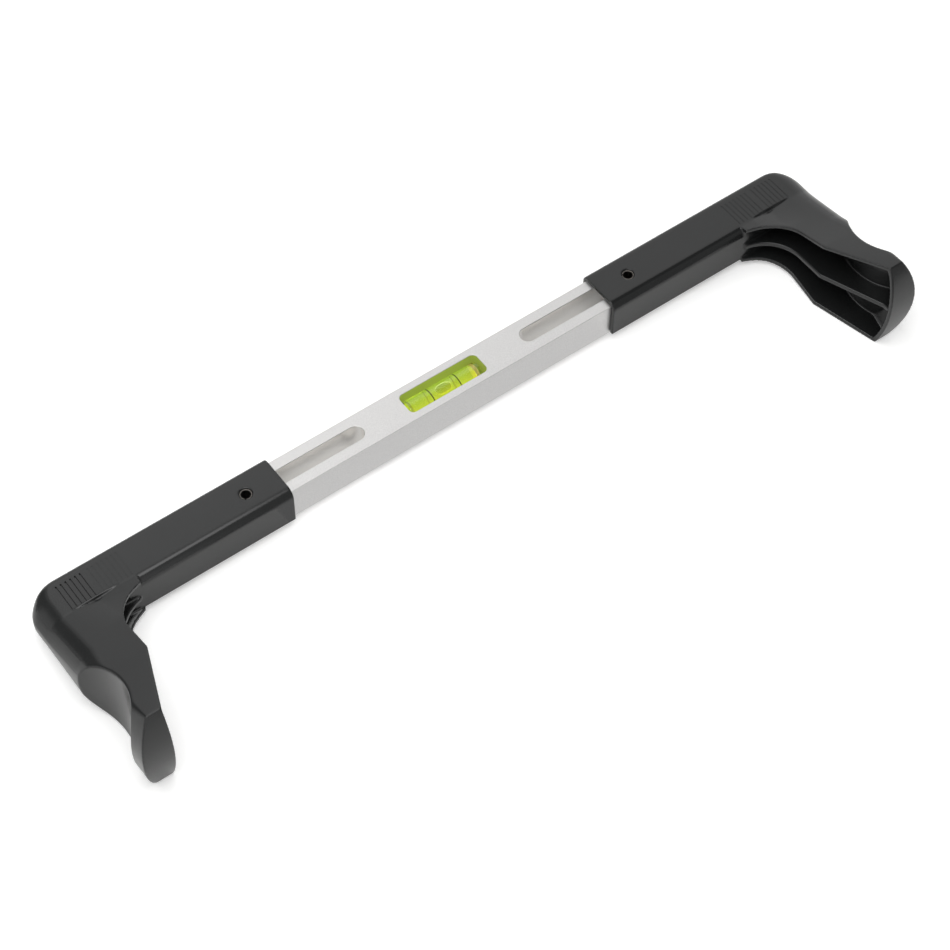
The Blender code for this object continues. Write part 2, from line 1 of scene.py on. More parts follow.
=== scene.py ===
# Steering wheel level: a blasted aluminium bar with a green spirit vial,
# and two moulded black arms that slide on its ends. Sizes are in millimetres
# in the level's own frame: X along the bar, hooks towards -Y, top face up.

import json
import math

import bmesh
import bpy
from mathutils import Matrix, Vector


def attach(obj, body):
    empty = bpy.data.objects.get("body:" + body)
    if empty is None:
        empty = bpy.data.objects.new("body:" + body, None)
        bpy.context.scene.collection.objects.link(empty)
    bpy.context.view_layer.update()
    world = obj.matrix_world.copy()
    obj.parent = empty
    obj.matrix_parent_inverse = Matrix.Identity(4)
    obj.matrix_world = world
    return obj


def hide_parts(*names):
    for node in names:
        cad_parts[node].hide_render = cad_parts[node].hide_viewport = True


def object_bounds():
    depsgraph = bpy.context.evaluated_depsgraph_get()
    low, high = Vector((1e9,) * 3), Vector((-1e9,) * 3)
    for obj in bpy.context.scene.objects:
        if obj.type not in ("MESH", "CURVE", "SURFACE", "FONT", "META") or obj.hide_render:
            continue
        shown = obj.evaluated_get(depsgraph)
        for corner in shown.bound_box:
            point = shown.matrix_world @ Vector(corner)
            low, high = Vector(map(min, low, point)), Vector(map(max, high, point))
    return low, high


mm = 0.001
sides = {"left": -1, "right": 1}

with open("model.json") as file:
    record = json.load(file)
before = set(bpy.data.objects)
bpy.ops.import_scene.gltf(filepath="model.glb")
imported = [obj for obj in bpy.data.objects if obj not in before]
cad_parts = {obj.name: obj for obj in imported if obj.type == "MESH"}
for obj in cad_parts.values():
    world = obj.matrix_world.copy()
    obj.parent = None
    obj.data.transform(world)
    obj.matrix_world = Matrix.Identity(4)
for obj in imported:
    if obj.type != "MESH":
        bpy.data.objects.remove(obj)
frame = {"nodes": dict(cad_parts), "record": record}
cadBox = [list(corner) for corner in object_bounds()]
print("frame loaded:", len(frame["nodes"]), "nodes")


# the level leans on the table, so its frame comes from the bar's two faces
def levelFrame():
    mounts = {mount["name"]: mount for mount in frame["record"]["mounts"]}
    top, under = mounts["bar_top"], mounts["bar_underside"]
    up = Vector(top["axis"]).normalized()
    middle = (Vector(top["pos_m"]) + Vector(under["pos_m"])) / 2
    middle.x = 0
    turn = Matrix(((1, 0, 0), (0, up.z, up.y), (0, -up.z * up.y / up.z, up.z))).to_4x4()
    return Matrix.Translation(middle) @ turn


level = levelFrame()
lean = level.to_euler()


# colours are written as they look on screen
def hexColor(text):
    values = [int(text[k:k + 2], 16) / 255 for k in (1, 3, 5)]
    return tuple(v / 12.92 if v <= 0.04045 else ((v + 0.055) / 1.055) ** 2.4 for v in values) + (1.0,)


# an input takes a value, an output to link, or a node for its first output
def feed(node, inputs):
    for name, value in inputs.items():
        if isinstance(value, bpy.types.Node):
            value = value.outputs[0]
        if isinstance(value, bpy.types.NodeSocket):
            node.id_data.links.new(value, node.inputs[name])
        else:
            node.inputs[name].default_value = value


def addNode(tree, kind, inputs=None, **settings):
    node = tree.nodes.new(kind)
    for name, value in settings.items():
        setattr(node, name, value)
    feed(node, inputs or {})
    return node


def newMaterial(name, color, inputs):
    material = bpy.data.materials.new(name)
    material.use_nodes = True
    material.diffuse_color = hexColor(color)
    shader = material.node_tree.nodes["Principled BSDF"]
    feed(shader, {"Base Color": hexColor(color), **inputs})
    return material, material.node_tree, shader


# object coordinates turned into the level's own frame, in millimetres
def levelCoordinates(tree):
    place = addNode(tree, "ShaderNodeTexCoord")
    return addNode(tree, "ShaderNodeMapping",
                   {"Vector": place.outputs["Object"], "Location": level.translation,
                    "Rotation": lean, "Scale": (mm, mm, mm)}, vector_type="TEXTURE")


def setStops(ramp, stops):
    elements = ramp.color_ramp.elements
    while len(elements) < len(stops):
        elements.new(0.5)
    for element, (at, color) in zip(elements, stops):
        element.position, element.color = at, hexColor(color)


# two tones of a finish, mottled at a size in millimetres; a mix takes two colours
# at its inputs 6 and 7 and gives one at its output 2
def mottled(tree, place, size, dark, light):
    noise = addNode(tree, "ShaderNodeTexNoise", {"Vector": place, "Scale": 1 / size, "Detail": 3.0})
    return addNode(tree, "ShaderNodeMix", {"Factor": noise, 6: hexColor(dark), 7: hexColor(light)},
                   data_type="RGBA").outputs[2]


# 1 inside a box of the level's frame, 0 outside; None leaves a side open
def insideBox(tree, place, low, high):
    split = addNode(tree, "ShaderNodeSeparateXYZ", {0: place})
    inside = 1.0
    for axis in range(3):
        for operation, edge in (("GREATER_THAN", low[axis]), ("LESS_THAN", high[axis])):
            if edge is None:
                continue
            test = addNode(tree, "ShaderNodeMath", {0: split.outputs[axis], 1: edge}, operation=operation)
            inside = addNode(tree, "ShaderNodeMath", {0: inside, 1: test}, operation="MULTIPLY")
    return inside


# bead blasted and anodised aluminium: bright and soft, with a fine frosted grain
aluminium = {
    "color": "#DCDBDA", "dark": "#C8C7C6", "light": "#EEEDEC", "stops": (0.3, 0.7), "cloud": 9.0,
    "roughness": (0.36, 0.44), "grit": 0.42, "gritStrength": 0.25, "gritDepth": 0.03,
    "machined": "#FCFAF7", "machinedRoughness": 0.2, "marksPerMm": (0.625, 0.3, 0.02), "slotMargin": (0.1, 0.15),
    # painted light: colour and strength of the green glow on the vial pocket's walls
    "glow": "#9AAC4C", "paintedGlowStrength": 0.3, "pocketMargin": 0.3, "topMargin": 0.3,
}


def blastedAluminium():
    look = aluminium
    material, tree, shader = newMaterial("blastedAluminium", look["color"], {})
    place = levelCoordinates(tree)
    # real beads leave 0.1 mm pits; drawn coarser so that they show at arm's length
    grit = addNode(tree, "ShaderNodeTexNoise", {"Vector": place, "Scale": 1 / look["grit"], "Detail": 3.0})
    cloud = addNode(tree, "ShaderNodeTexNoise", {"Vector": place, "Scale": 1 / look["cloud"], "Detail": 4.0})
    tone = addNode(tree, "ShaderNodeValToRGB", {"Fac": grit})
    setStops(tone, list(zip(look["stops"], (look["dark"], look["light"]))))
    blasted = addNode(tree, "ShaderNodeMix", {"Factor": cloud, 6: tone, 7: hexColor(look["color"])},
                      data_type="RGBA")
    # milled walls of the two slots: brighter, smoother, with upright marks of the cutter
    top = bar["height"] / 2 - look["topMargin"]
    along, across = look["slotMargin"]
    slots = 0.0
    for side in sides.values():
        low, high = sorted((side * (bar["slotStart"] - along), side * (bar["slotEnd"] + along)))
        half = bar["slotHalfWidth"] + across
        slot = insideBox(tree, place, (low, -half, None), (high, half, top))
        slots = addNode(tree, "ShaderNodeMath", {0: slots, 1: slot}, operation="ADD")
    milled = addNode(tree, "ShaderNodeMix", {"Factor": slots, 6: blasted.outputs[2], 7: hexColor(look["machined"])},
                     data_type="RGBA")
    # painted green light from the vial: the walls of its pocket are coloured green and made to glow
    margin = look["pocketMargin"]
    x, y = bar["pocketHalfLength"] + margin, bar["pocketHalfWidth"] + margin
    pocket = insideBox(tree, place, (-x, -y, bar["pocketFloor"] - margin), (x, y, top))
    color = addNode(tree, "ShaderNodeMix", {"Factor": pocket, 6: milled.outputs[2], 7: hexColor(look["glow"])},
                    data_type="RGBA")
    bare = addNode(tree, "ShaderNodeMath", {0: 1.0, 1: pocket}, operation="SUBTRACT")
    glow = addNode(tree, "ShaderNodeMath", {0: pocket, 1: look["paintedGlowStrength"]}, operation="MULTIPLY")
    smooth, coarse = look["roughness"]
    satin = addNode(tree, "ShaderNodeMapRange", {"Value": cloud, "To Min": smooth, "To Max": coarse})
    rough = addNode(tree, "ShaderNodeMix", {"Factor": slots, 2: satin, 3: look["machinedRoughness"]})
    upright = addNode(tree, "ShaderNodeMapping", {"Vector": place, "Scale": look["marksPerMm"]})
    marks = addNode(tree, "ShaderNodeTexNoise", {"Vector": upright, "Scale": 1.0, "Detail": 4.0})
    height = addNode(tree, "ShaderNodeMix", {"Factor": slots, 2: grit, 3: marks})
    bump = addNode(tree, "ShaderNodeBump", {"Height": height, "Strength": look["gritStrength"],
                                            "Distance": look["gritDepth"] * mm})
    feed(shader, {"Base Color": color.outputs[2], "Metallic": bare, "Roughness": rough, "Normal": bump,
                  "Emission Color": hexColor(look["glow"]), "Emission Strength": glow})
    return material


# glass filled nylon, injection moulded: black with a satin skin that mirrors at low angles
nylon = {
    "color": "#1B1C1C", "dark": "#191A1A", "light": "#1E1F1F", "mottle": 12.0, "index": 1.5,
    "haze": 20.0, "roughness": (0.17, 0.23), "grain": 0.4, "grainStrength": 0.15, "grainDepth": 0.02,
}


def mouldedPlastic():
    look = nylon
    material, tree, shader = newMaterial("mouldedPlastic", look["color"], {"IOR": look["index"]})
    place = levelCoordinates(tree)
    haze = addNode(tree, "ShaderNodeTexNoise", {"Vector": place, "Scale": 1 / look["haze"], "Detail": 3.0})
    grain = addNode(tree, "ShaderNodeTexNoise", {"Vector": place, "Scale": 1 / look["grain"], "Detail": 2.0})
    smooth, coarse = look["roughness"]
    rough = addNode(tree, "ShaderNodeMapRange", {"Value": haze, "To Min": smooth, "To Max": coarse})
    bump = addNode(tree, "ShaderNodeBump", {"Height": grain, "Strength": look["grainStrength"],
                                            "Distance": look["grainDepth"] * mm})
    feed(shader, {"Base Color": mottled(tree, place, look["mottle"], look["dark"], look["light"]),
                  "Roughness": rough, "Normal": bump})
    return material


# one finish in two mottled tones, a little uneven as small parts are
def smallFinish(name, dark, light, size, inputs):
    material, tree, shader = newMaterial(name, dark, inputs)
    feed(shader, {"Base Color": mottled(tree, levelCoordinates(tree), size, dark, light)})
    return material


# spring steel with black oxide, mottled dark and bright
def oxidisedSteel():
    return smallFinish("oxidisedSteel", "#4A4643", "#8C8883", 0.7, {"Metallic": 1.0, "Roughness": 0.34})


# cast acrylic, polished: clear as glass, with faint hand marks in its gloss
acrylic = {"color": "#F2F8DA", "index": 1.49, "marks": 2.0, "roughness": (0.01, 0.04)}


def polishedAcrylic():
    look = acrylic
    material, tree, shader = newMaterial("polishedAcrylic", look["color"],
                                         {"IOR": look["index"], "Transmission Weight": 1.0})
    marks = addNode(tree, "ShaderNodeTexNoise", {"Vector": levelCoordinates(tree), "Scale": 1 / look["marks"],
                                                 "Detail": 3.0})
    smooth, coarse = look["roughness"]
    feed(shader, {"Roughness": addNode(tree, "ShaderNodeMapRange", {"Value": marks, "To Min": smooth,
                                                                    "To Max": coarse})})
    return material


# alcohol with a fluorescent dye; its glow is painted light, a fixed glow in place of the dye's fluorescence, painted
# yellow in front, where light falls, and green in depth;
# it's seen through the acrylic, so its index is the ratio of the two
spirit = {
    "color": "#E4EFA4", "index": 1.36 / acrylic["index"], "clear": 0.9, "glow": 0.27, "front": -1.8, "back": 4.6,
    "ripple": 1.818, "waver": 3.0, "tones": ((0.0, "#F2DA14"), (0.45, "#CDCC3A"), (1.0, "#9AB44E")),
}


def greenSpirit():
    look = spirit
    material, tree, shader = newMaterial("greenSpirit", look["color"],
                                         {"Roughness": 0.0, "IOR": look["index"], "Transmission Weight": look["clear"],
                                          "Emission Strength": look["glow"]})
    place = levelCoordinates(tree)
    # painted light: the glow turns from yellow in front to green behind, wavered by noise
    ripple = addNode(tree, "ShaderNodeTexNoise", {"Vector": place, "Scale": 1 / look["ripple"], "Detail": 3.0})
    split = addNode(tree, "ShaderNodeSeparateXYZ", {0: place})
    across = addNode(tree, "ShaderNodeMath", {0: ripple, 1: look["waver"], 2: split.outputs["Y"]},
                     operation="MULTIPLY_ADD")
    depth = addNode(tree, "ShaderNodeMapRange", {"Value": across, "From Min": look["front"], "From Max": look["back"]})
    tone = addNode(tree, "ShaderNodeValToRGB", {"Fac": depth})
    setStops(tone, look["tones"])
    feed(shader, {"Emission Color": tone})
    return material


# air in spirit: nearly unseen, tinted grey-green as painted shade, with a painted highlight that glows along its
# outline, pale behind and yellow in front
air = {
    "color": "#CDD4AE", "index": 0.8, "front": -1.2, "back": 0.6, "frontTone": "#E8DC30", "backTone": "#F2F6E6",
    "outline": (0.5, 0.75), "paintedHighlightGlow": 1.5,
}


def trappedAir():
    look = air
    material, tree, shader = newMaterial("trappedAir", look["color"],
                                         {"Roughness": 0.0, "IOR": look["index"], "Transmission Weight": 1.0})
    split = addNode(tree, "ShaderNodeSeparateXYZ", {0: levelCoordinates(tree)})
    behind = addNode(tree, "ShaderNodeMapRange", {"Value": split.outputs["Y"], "From Min": look["front"],
                                                  "From Max": look["back"]})
    tone = addNode(tree, "ShaderNodeMix", {"Factor": behind, 6: hexColor(look["frontTone"]),
                                           7: hexColor(look["backTone"])}, data_type="RGBA")
    # painted highlight: the outline glows where the bubble's surface turns away
    slant = addNode(tree, "ShaderNodeLayerWeight", {"Blend": 0.5})
    start, full = look["outline"]
    outline = addNode(tree, "ShaderNodeMapRange", {"Value": slant.outputs["Facing"], "From Min": start,
                                                   "From Max": full, "To Min": 0.0, "To Max": look["paintedHighlightGlow"]})
    feed(shader, {"Emission Color": tone.outputs[2], "Emission Strength": outline})
    return material


# an object that is drawn in the level's frame, in millimetres, until it's finished
def newPiece(name, shape, material=None):
    mesh = shape
    if isinstance(shape, bmesh.types.BMesh):
        mesh = bpy.data.meshes.new(name)
        shape.to_mesh(mesh)
        shape.free()
    mesh.name = name
    piece = bpy.data.objects.new(name, mesh)
    bpy.context.scene.collection.objects.link(piece)
    if material:
        mesh.materials.clear()
        mesh.materials.append(material)
    return piece


# what an object looks like with its modifiers becomes its plain mesh
def applyModifiers(piece):
    bpy.context.view_layer.update()
    graph = bpy.context.evaluated_depsgraph_get()
    mesh = bpy.data.meshes.new_from_object(piece.evaluated_get(graph), depsgraph=graph)
    piece.modifiers.clear()
    piece.data = mesh


# smooth faces with sharp edges, the mesh laid in place in the world, and what the piece stands for
def finishPiece(piece, body, node, angle=35.0, weighted=False):
    if weighted:
        piece.modifiers.new("weighted normals", "WEIGHTED_NORMAL").keep_sharp = True
    piece.data.shade_smooth()
    piece.data.set_sharp_from_angle(angle=math.radians(angle))
    if piece.modifiers:
        applyModifiers(piece)
    piece.data.transform(level @ Matrix.Scale(mm, 4))
    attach(piece, body)
    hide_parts(node)


def combine(target, other, operation):
    step = target.modifiers.new(operation, "BOOLEAN")
    step.operation, step.object, step.solver = operation, other, "EXACT"


# a tree's inputs are set by their sockets' identifiers
def runTree(piece, tree, settings):
    modifier = piece.modifiers.new(tree.name, "NODES")
    modifier.node_group = tree
    names = {item.name: item.identifier for item in tree.interface.items_tree if item.in_out == "INPUT"}
    for name, value in settings.items():
        modifier[names[name]] = value
    applyModifiers(piece)


def newTree(name, inputs):
    tree = bpy.data.node_groups.new(name, "GeometryNodeTree")
    tree.interface.new_socket("Geometry", in_out="INPUT", socket_type="NodeSocketGeometry")
    tree.interface.new_socket("Geometry", in_out="OUTPUT", socket_type="NodeSocketGeometry")
    for label, kind in inputs.items():
        tree.interface.new_socket(label, in_out="INPUT", socket_type=kind)
    return tree, addNode(tree, "NodeGroupInput").outputs


def endTree(tree, geometry, material):
    real = addNode(tree, "GeometryNodeRealizeInstances", {0: geometry})
    painted = addNode(tree, "GeometryNodeSetMaterial", {"Geometry": real, "Material": material})
    addNode(tree, "NodeGroupOutput", {0: painted})


number, whole, vector, finish = "NodeSocketFloat", "NodeSocketInt", "NodeSocketVector", "NodeSocketMaterial"


# a solid bar with a stadium slot at each end and a rounded pocket in the middle
bar = {
    "length": 290.0, "width": 20.0, "height": 20.0,
    "slotStart": 46.0, "slotEnd": 125.0, "slotHalfWidth": 4.3,
    "reliefHalfWidth": 5.8, "reliefDepth": 3.2, "fullRound": 0.999,
    "pocketHalfLength": 22.3, "pocketHalfWidth": 6.05, "pocketCorner": 2.6, "pocketFloor": -3.25,
    "past": 4.0, "cornerSteps": 11, "edge": 0.22, "edgeSteps": 3, "edgeAngle": 40, "clearance": 0.1,
}


def slottedBarTree():
    cutters = ("Slot", "Relief", "Pocket")
    sizes = {"Length": number, "Width": number, "Corner": number, "Foot": vector, "Head": vector}
    tree, given = newTree("slottedBar", {
        "Block": vector, "Lift": vector, "First Slot": vector, "Slot Spacing": vector,
        **{f"{name} {size}": kind for name in cutters for size, kind in sizes.items()}, "Material": finish})
    block = addNode(tree, "GeometryNodeMeshCube", {"Size": given["Block"]})
    cut = addNode(tree, "GeometryNodeTransform", {"Geometry": block, "Translation": given["Lift"]})
    ends = addNode(tree, "GeometryNodeMeshLine", {"Count": 2, "Start Location": given["First Slot"],
                                                  "Offset": given["Slot Spacing"]})
    for name in cutters:
        flat = addNode(tree, "GeometryNodeCurvePrimitiveQuadrilateral", {"Width": given[f"{name} Length"],
                                                                         "Height": given[f"{name} Width"]})
        rounded = addNode(tree, "GeometryNodeFilletCurve", {"Curve": flat, "Radius": given[f"{name} Corner"],
                                                            "Count": bar["cornerSteps"]}, mode="POLY")
        path = addNode(tree, "GeometryNodeCurvePrimitiveLine", {"Start": given[f"{name} Foot"],
                                                                "End": given[f"{name} Head"]})
        cutter = addNode(tree, "GeometryNodeCurveToMesh", {"Curve": path, "Profile Curve": rounded,
                                                           "Fill Caps": True})
        if name != "Pocket":
            cutter = addNode(tree, "GeometryNodeInstanceOnPoints", {"Points": ends, "Instance": cutter})
        real = addNode(tree, "GeometryNodeRealizeInstances", {0: cutter})
        cut = addNode(tree, "GeometryNodeMeshBoolean", {"Mesh 1": cut, "Mesh 2": real}, operation="DIFFERENCE")
    endTree(tree, cut, given["Material"])
    return tree


def makeBar():
    high, past, slot, relief = bar["height"] / 2, bar["past"], bar["slotHalfWidth"], bar["reliefHalfWidth"]
    slotLength, slotMiddle = bar["slotEnd"] - bar["slotStart"], (bar["slotEnd"] + bar["slotStart"]) / 2
    # length, width, corner radius, lowest and highest place of each cutter
    cutters = {
        "Slot": (slotLength, 2 * slot, slot * bar["fullRound"], -high - past, high + past),
        "Relief": (slotLength + 2 * (relief - slot), 2 * relief, relief * bar["fullRound"],
                   -high - past, bar["reliefDepth"] - high),
        "Pocket": (2 * bar["pocketHalfLength"], 2 * bar["pocketHalfWidth"], bar["pocketCorner"],
                   bar["pocketFloor"], high + past),
    }
    # the underside stands a hair in, so that the finer edges stay off the table
    settings = {"Block": (bar["length"], bar["width"], bar["height"] - bar["clearance"]),
                "Lift": (0.0, 0.0, bar["clearance"] / 2), "First Slot": (-slotMiddle, 0.0, 0.0),
                "Slot Spacing": (2 * slotMiddle, 0.0, 0.0), "Material": blastedAluminium()}
    for name, (length, width, corner, foot, head) in cutters.items():
        settings.update({f"{name} Length": length, f"{name} Width": width, f"{name} Corner": corner,
                         f"{name} Foot": (0.0, 0.0, foot), f"{name} Head": (0.0, 0.0, head)})
    piece = newPiece("slottedBar", bmesh.new())
    runTree(piece, slottedBarTree(), settings)
    bevel = piece.modifiers.new("broken edges", "BEVEL")
    bevel.width, bevel.segments, bevel.limit_method = bar["edge"], bar["edgeSteps"], "ANGLE"
    bevel.angle_limit, bevel.use_clamp_overlap = math.radians(bar["edgeAngle"]), False
    finishPiece(piece, "bar_and_vial", "bar", weighted=True)
    print("bar made:", len(piece.data.polygons), "faces")


# a turned shape along X: (place along X, radius) from end to end
def turned(profile, axisZ, steps):
    shape = bmesh.new()
    rings = []
    for along, radius in profile:
        if radius == 0:
            rings.append([shape.verts.new((along, 0, axisZ))])
            continue
        rings.append([shape.verts.new((along, radius * math.cos(2 * math.pi * k / steps),
                                       axisZ + radius * math.sin(2 * math.pi * k / steps))) for k in range(steps)])
    for ring, following in zip(rings, rings[1:]):
        for k in range(steps):
            after = (k + 1) % steps
            corners = []
            for vert in (ring[k % len(ring)], ring[after % len(ring)],
                         following[after % len(following)], following[k % len(following)]):
                if vert not in corners:
                    corners.append(vert)
            if len(corners) > 2:
                shape.faces.new(corners)
    bmesh.ops.recalc_face_normals(shape, faces=shape.faces)
    return shape


def arcPoints(centre, radius, start, end, steps):
    turns = [math.radians(start + (end - start) * k / steps) for k in range(steps + 1)]
    return [(centre[0] + radius * math.cos(turn), centre[1] + radius * math.sin(turn)) for turn in turns]


# the spirit vial: an acrylic tube, its liquid, plug, bubble and two rings
vial = {
    "halfLength": 20.8, "radius": 5.7, "bore": 4.3, "axis": 2.75, "endWall": 2.0, "endRound": 0.5,
    "plugFace": 17.4, "plugLength": 1.8, "plugGap": 0.05, "ringPlace": 7.8, "ringWidth": 0.5, "ringDepth": 0.3,
    "ringGap": 0.03, "ringSlack": 0.02, "tubeSteps": 96, "plugSteps": 64,
    "bubbleLength": 8.9, "bubbleWidth": 4.6, "bubbleHeight": 2.1, "bubbleGap": 0.35, "bubbleBlunt": 0.8,
    "bubbleSteps": (48, 24),
}


def makeVial():
    half, radius, bore, axis, ease = (vial[key] for key in ("halfLength", "radius", "bore", "axis", "endRound"))
    rings = {name: side * vial["ringPlace"] for name, side in sides.items()}
    edge, deep = vial["ringWidth"] / 2, vial["ringDepth"]
    profile = [(-half, 0)] + arcPoints((-half + ease, radius - ease), ease, 180, 90, 6)
    for place in rings.values():
        profile += [(place - edge, radius), (place - edge, radius - deep),
                    (place + edge, radius - deep), (place + edge, radius)]
    profile += arcPoints((half - ease, radius - ease), ease, 90, 0, 6) + [(half, 0)]
    tube = newPiece("vialTube", turned(profile, axis, vial["tubeSteps"]), polishedAcrylic())
    finishPiece(tube, "bar_and_vial", "vial_tube")

    start, end = -half + vial["endWall"], vial["plugFace"]
    profile = [(start, 0), (start, bore), (end, bore), (end, 0)]
    liquid = newPiece("spirit", turned(profile, axis, vial["tubeSteps"]), greenSpirit())
    finishPiece(liquid, "bar_and_vial", "vial_liquid")

    # the cast plug has a painted glow, pale yellow
    castPlug = smallFinish("castPlug", "#C6B872", "#D8CC8C", 2.0,
                           {"Roughness": 0.3, "Transmission Weight": 0.55,
                            "Emission Color": hexColor("#B5A85A"), "Emission Strength": 0.22})
    start, end = end + vial["plugGap"], end + vial["plugLength"]
    profile = [(start, 0), (start, bore), (end, bore), (end, 0)]
    plug = newPiece("vialPlug", turned(profile, axis, vial["plugSteps"]), castPlug)
    finishPiece(plug, "bar_and_vial", "vial_plug")

    paint = smallFinish("ringPaint", "#11140C", "#1C2014", 0.8, {"Roughness": 0.5})
    edge -= vial["ringSlack"]
    outer, inner = radius - vial["ringGap"], radius - deep + vial["ringGap"]
    for name, place in rings.items():
        corners = [(place - edge, inner), (place - edge, outer), (place + edge, outer), (place + edge, inner)]
        shape = turned(corners + corners[:1], axis, vial["tubeSteps"])
        bmesh.ops.remove_doubles(shape, verts=shape.verts, dist=0.001)
        bmesh.ops.recalc_face_normals(shape, faces=shape.faces)
        ring = newPiece(f"vialRing_{name}", shape, paint)
        finishPiece(ring, "bar_and_vial", f"vial_ring_{name}")

    # the bubble is flattened against the top of the bore
    shape = bmesh.new()
    around, along = vial["bubbleSteps"]
    bmesh.ops.create_uvsphere(shape, u_segments=around, v_segments=along, radius=0.5)
    middle = axis + bore - vial["bubbleGap"] - vial["bubbleHeight"] / 2
    for vert in shape.verts:
        blunt = math.copysign(abs(2 * vert.co.z) ** vial["bubbleBlunt"], vert.co.z) / 2
        vert.co = Vector((blunt * vial["bubbleLength"], vert.co.y * vial["bubbleWidth"],
                          vert.co.x * vial["bubbleHeight"] + middle))
    shape.normal_update()
    bmesh.ops.recalc_face_normals(shape, faces=shape.faces)
    finishPiece(newPiece("airBubble", shape, trappedAir()), "bubble", "vial_bubble")

    # clear adhesive at both ends of the tube
    glue = smallFinish("clearAdhesive", "#A0B648", "#B4C85C", 1.5, {"Roughness": 0.2, "Transmission Weight": 0.6})
    for name in sides:
        frame["nodes"][f"vial_bond_{name}"].material_slots[0].material = glue
    print("vial made")


# a moulded arm; places along the bar run from the sleeve's mouth
arm = {
    "mouth": 93.0, "length": 130.0, "channelEnd": 118.2, "channelHalf": 10.3, "channelCorner": 13.0,
    "sleeveHalf": 12.3, "sleeveEdge": 3.1, "frontEdge": 4.7, "frontAcross": 4.2, "sleeveBottom": -9.3, "wall": 2.0,
    "pinPlace": 18.0, "pinBore": 3.15, "bossRadius": 4.0, "footRadius": 5.5,
    "footEnd": -8.9, "footTop": -7.1, "footLead": 0.9, "footTaper": 0.75, "bossSlit": 1.2, "slitDepth": 9.0,
    "slitPast": 0.3, "mouthStep": 0.15,
    "rimLine": 99.7, "tipRim": 112.4, "filletStart": 82.0, "filletRadius": 20.4, "filletEnd": 33.9,
    "kink": 49.2, "tip": 82.1, "crease": 8.5, "flareAbove": 16.8, "flareBelow": 18.0, "kinkLift": 1.7,
    "edgeInset": 4.3, "tipEdgeInset": 9.8, "edgeSetback": 0.3, "spreadBelow": 1.2, "kinkInset": 1.0, "tipInset": 1.9,
    "cornerRadius": 13.5, "cornerEdgeRadius": 10.5, "cornerEdgeDepth": 8.6,
    "hookWall": 2.3, "cornerBlend": 8.0, "edgeBlend": 10.0, "blendShare": 0.75, "tipBlend": 0.8,
    "tipBulge": 5.9, "ribHalf": 1.35, "ribSetback": 1.0,
    "scoopRadius": 27.6, "scoopInset": 12.1, "scoopDrop": 57.5, "scoopLean": 0.045, "scoopReach": 34.0,
    "dent": {"step": 7.85, "reach": 18.2, "inner": 89.6, "valley": 101.3, "turn": 3.2, "outer": 114.8, "depth": 1.4,
             "lip": 0.08},
    "past": 4.0, "faceSteps": 40, "tipSteps": 400, "scoopSteps": 240, "pinSteps": 64,
    "voxel": 0.36, "quickVoxel": 0.9, "rounding": 8, "relax": 0.5, "scoopRounding": 30, "scoopEdgeReach": 2.56,
    "scoopEdgeWidth": 1.6, "scoopEdgeStart": -20.0, "faces": 186000, "skinInset": 0.999,
}
scoopMid = arm["length"] - arm["scoopInset"] + arm["scoopRadius"]
hookMid = (arm["sleeveHalf"] + arm["sleeveBottom"]) / 2
sleeveRise = arm["sleeveHalf"] - hookMid


# how far y has come from start to end, 0 to 1, counted towards the tip
def way(y, start, end):
    return min(max((-y - start) / (end - start), 0), 1)


# the hook's lines at a place y: open rim, outer wall, edge above it, height and depth
def rimAt(y):
    if y > -arm["filletEnd"]:
        off = min(y + arm["filletEnd"], arm["filletRadius"])
        return max(arm["rimLine"] - arm["filletRadius"] + math.sqrt(arm["filletRadius"] ** 2 - off ** 2),
                   arm["filletStart"])
    return arm["rimLine"] + way(y, arm["kink"], arm["tip"]) * (arm["tipRim"] - arm["rimLine"])


# how deep the rounded corner has fallen away at y
def fallBack(y, centre, radius, depth):
    reach = min(max((y - centre) / radius, 0), 1)
    return depth * (1 - math.sqrt(1 - reach ** 2))


def wallAt(y):
    taper = way(y, 0, arm["kink"]) * arm["kinkInset"]
    taper += way(y, arm["kink"], arm["tip"]) * (arm["tipInset"] - arm["kinkInset"])
    radius = arm["cornerRadius"]
    return arm["length"] - taper - fallBack(y, arm["sleeveHalf"] - radius, radius, radius)


def edgeAt(y):
    inset = arm["edgeInset"] + way(y, arm["kink"], arm["tip"]) * (arm["tipEdgeInset"] - arm["edgeInset"])
    radius = arm["cornerEdgeRadius"]
    corner = fallBack(y, arm["sleeveHalf"] - radius, radius, arm["cornerEdgeDepth"])
    return min(arm["length"] - inset - corner, wallAt(y) - arm["edgeSetback"])


def riseAt(y):
    past = max(y - (arm["sleeveHalf"] - arm["sleeveEdge"]), 0)
    rounding = arm["sleeveEdge"] - math.sqrt(max(arm["sleeveEdge"] ** 2 - past ** 2, 0))
    return sleeveRise - rounding + way(y, arm["crease"], arm["tip"]) * arm["flareAbove"]


def fallAt(y):
    return sleeveRise + way(y, arm["crease"], arm["tip"]) * arm["flareBelow"]


# the faces rise a little towards the rim at the kink
def rimLift(y, u, start):
    lift = arm["kinkLift"] * min(way(y, arm["crease"], arm["kink"]), 1 - way(y, arm["kink"], arm["tip"]))
    return lift * (start - u) / (start - rimAt(y))


# the outer side of a section: a blended edge, then a bowed wall down to the middle
def outerSide(height, edge, bulge, blend, blendSteps=10, wallSteps=16):
    sag = min(bulge - edge, height)
    radius = (height ** 2 + sag ** 2) / (2 * sag)

    def wall(at):
        return bulge - radius + math.sqrt(radius ** 2 - at ** 2)

    blend = min(blend, height * arm["blendShare"])
    start, corner = Vector((edge - blend, height)), Vector((edge, height))
    end = Vector((wall(height - blend), height - blend))
    shares = [k / blendSteps for k in range(blendSteps + 1)]
    side = [tuple(start.lerp(corner, s).lerp(corner.lerp(end, s), s)) for s in shares]
    levels = [(height - blend) * (1 - k / wallSteps) for k in range(1, wallSteps + 1)]
    return side + [(wall(at), at) for at in levels]


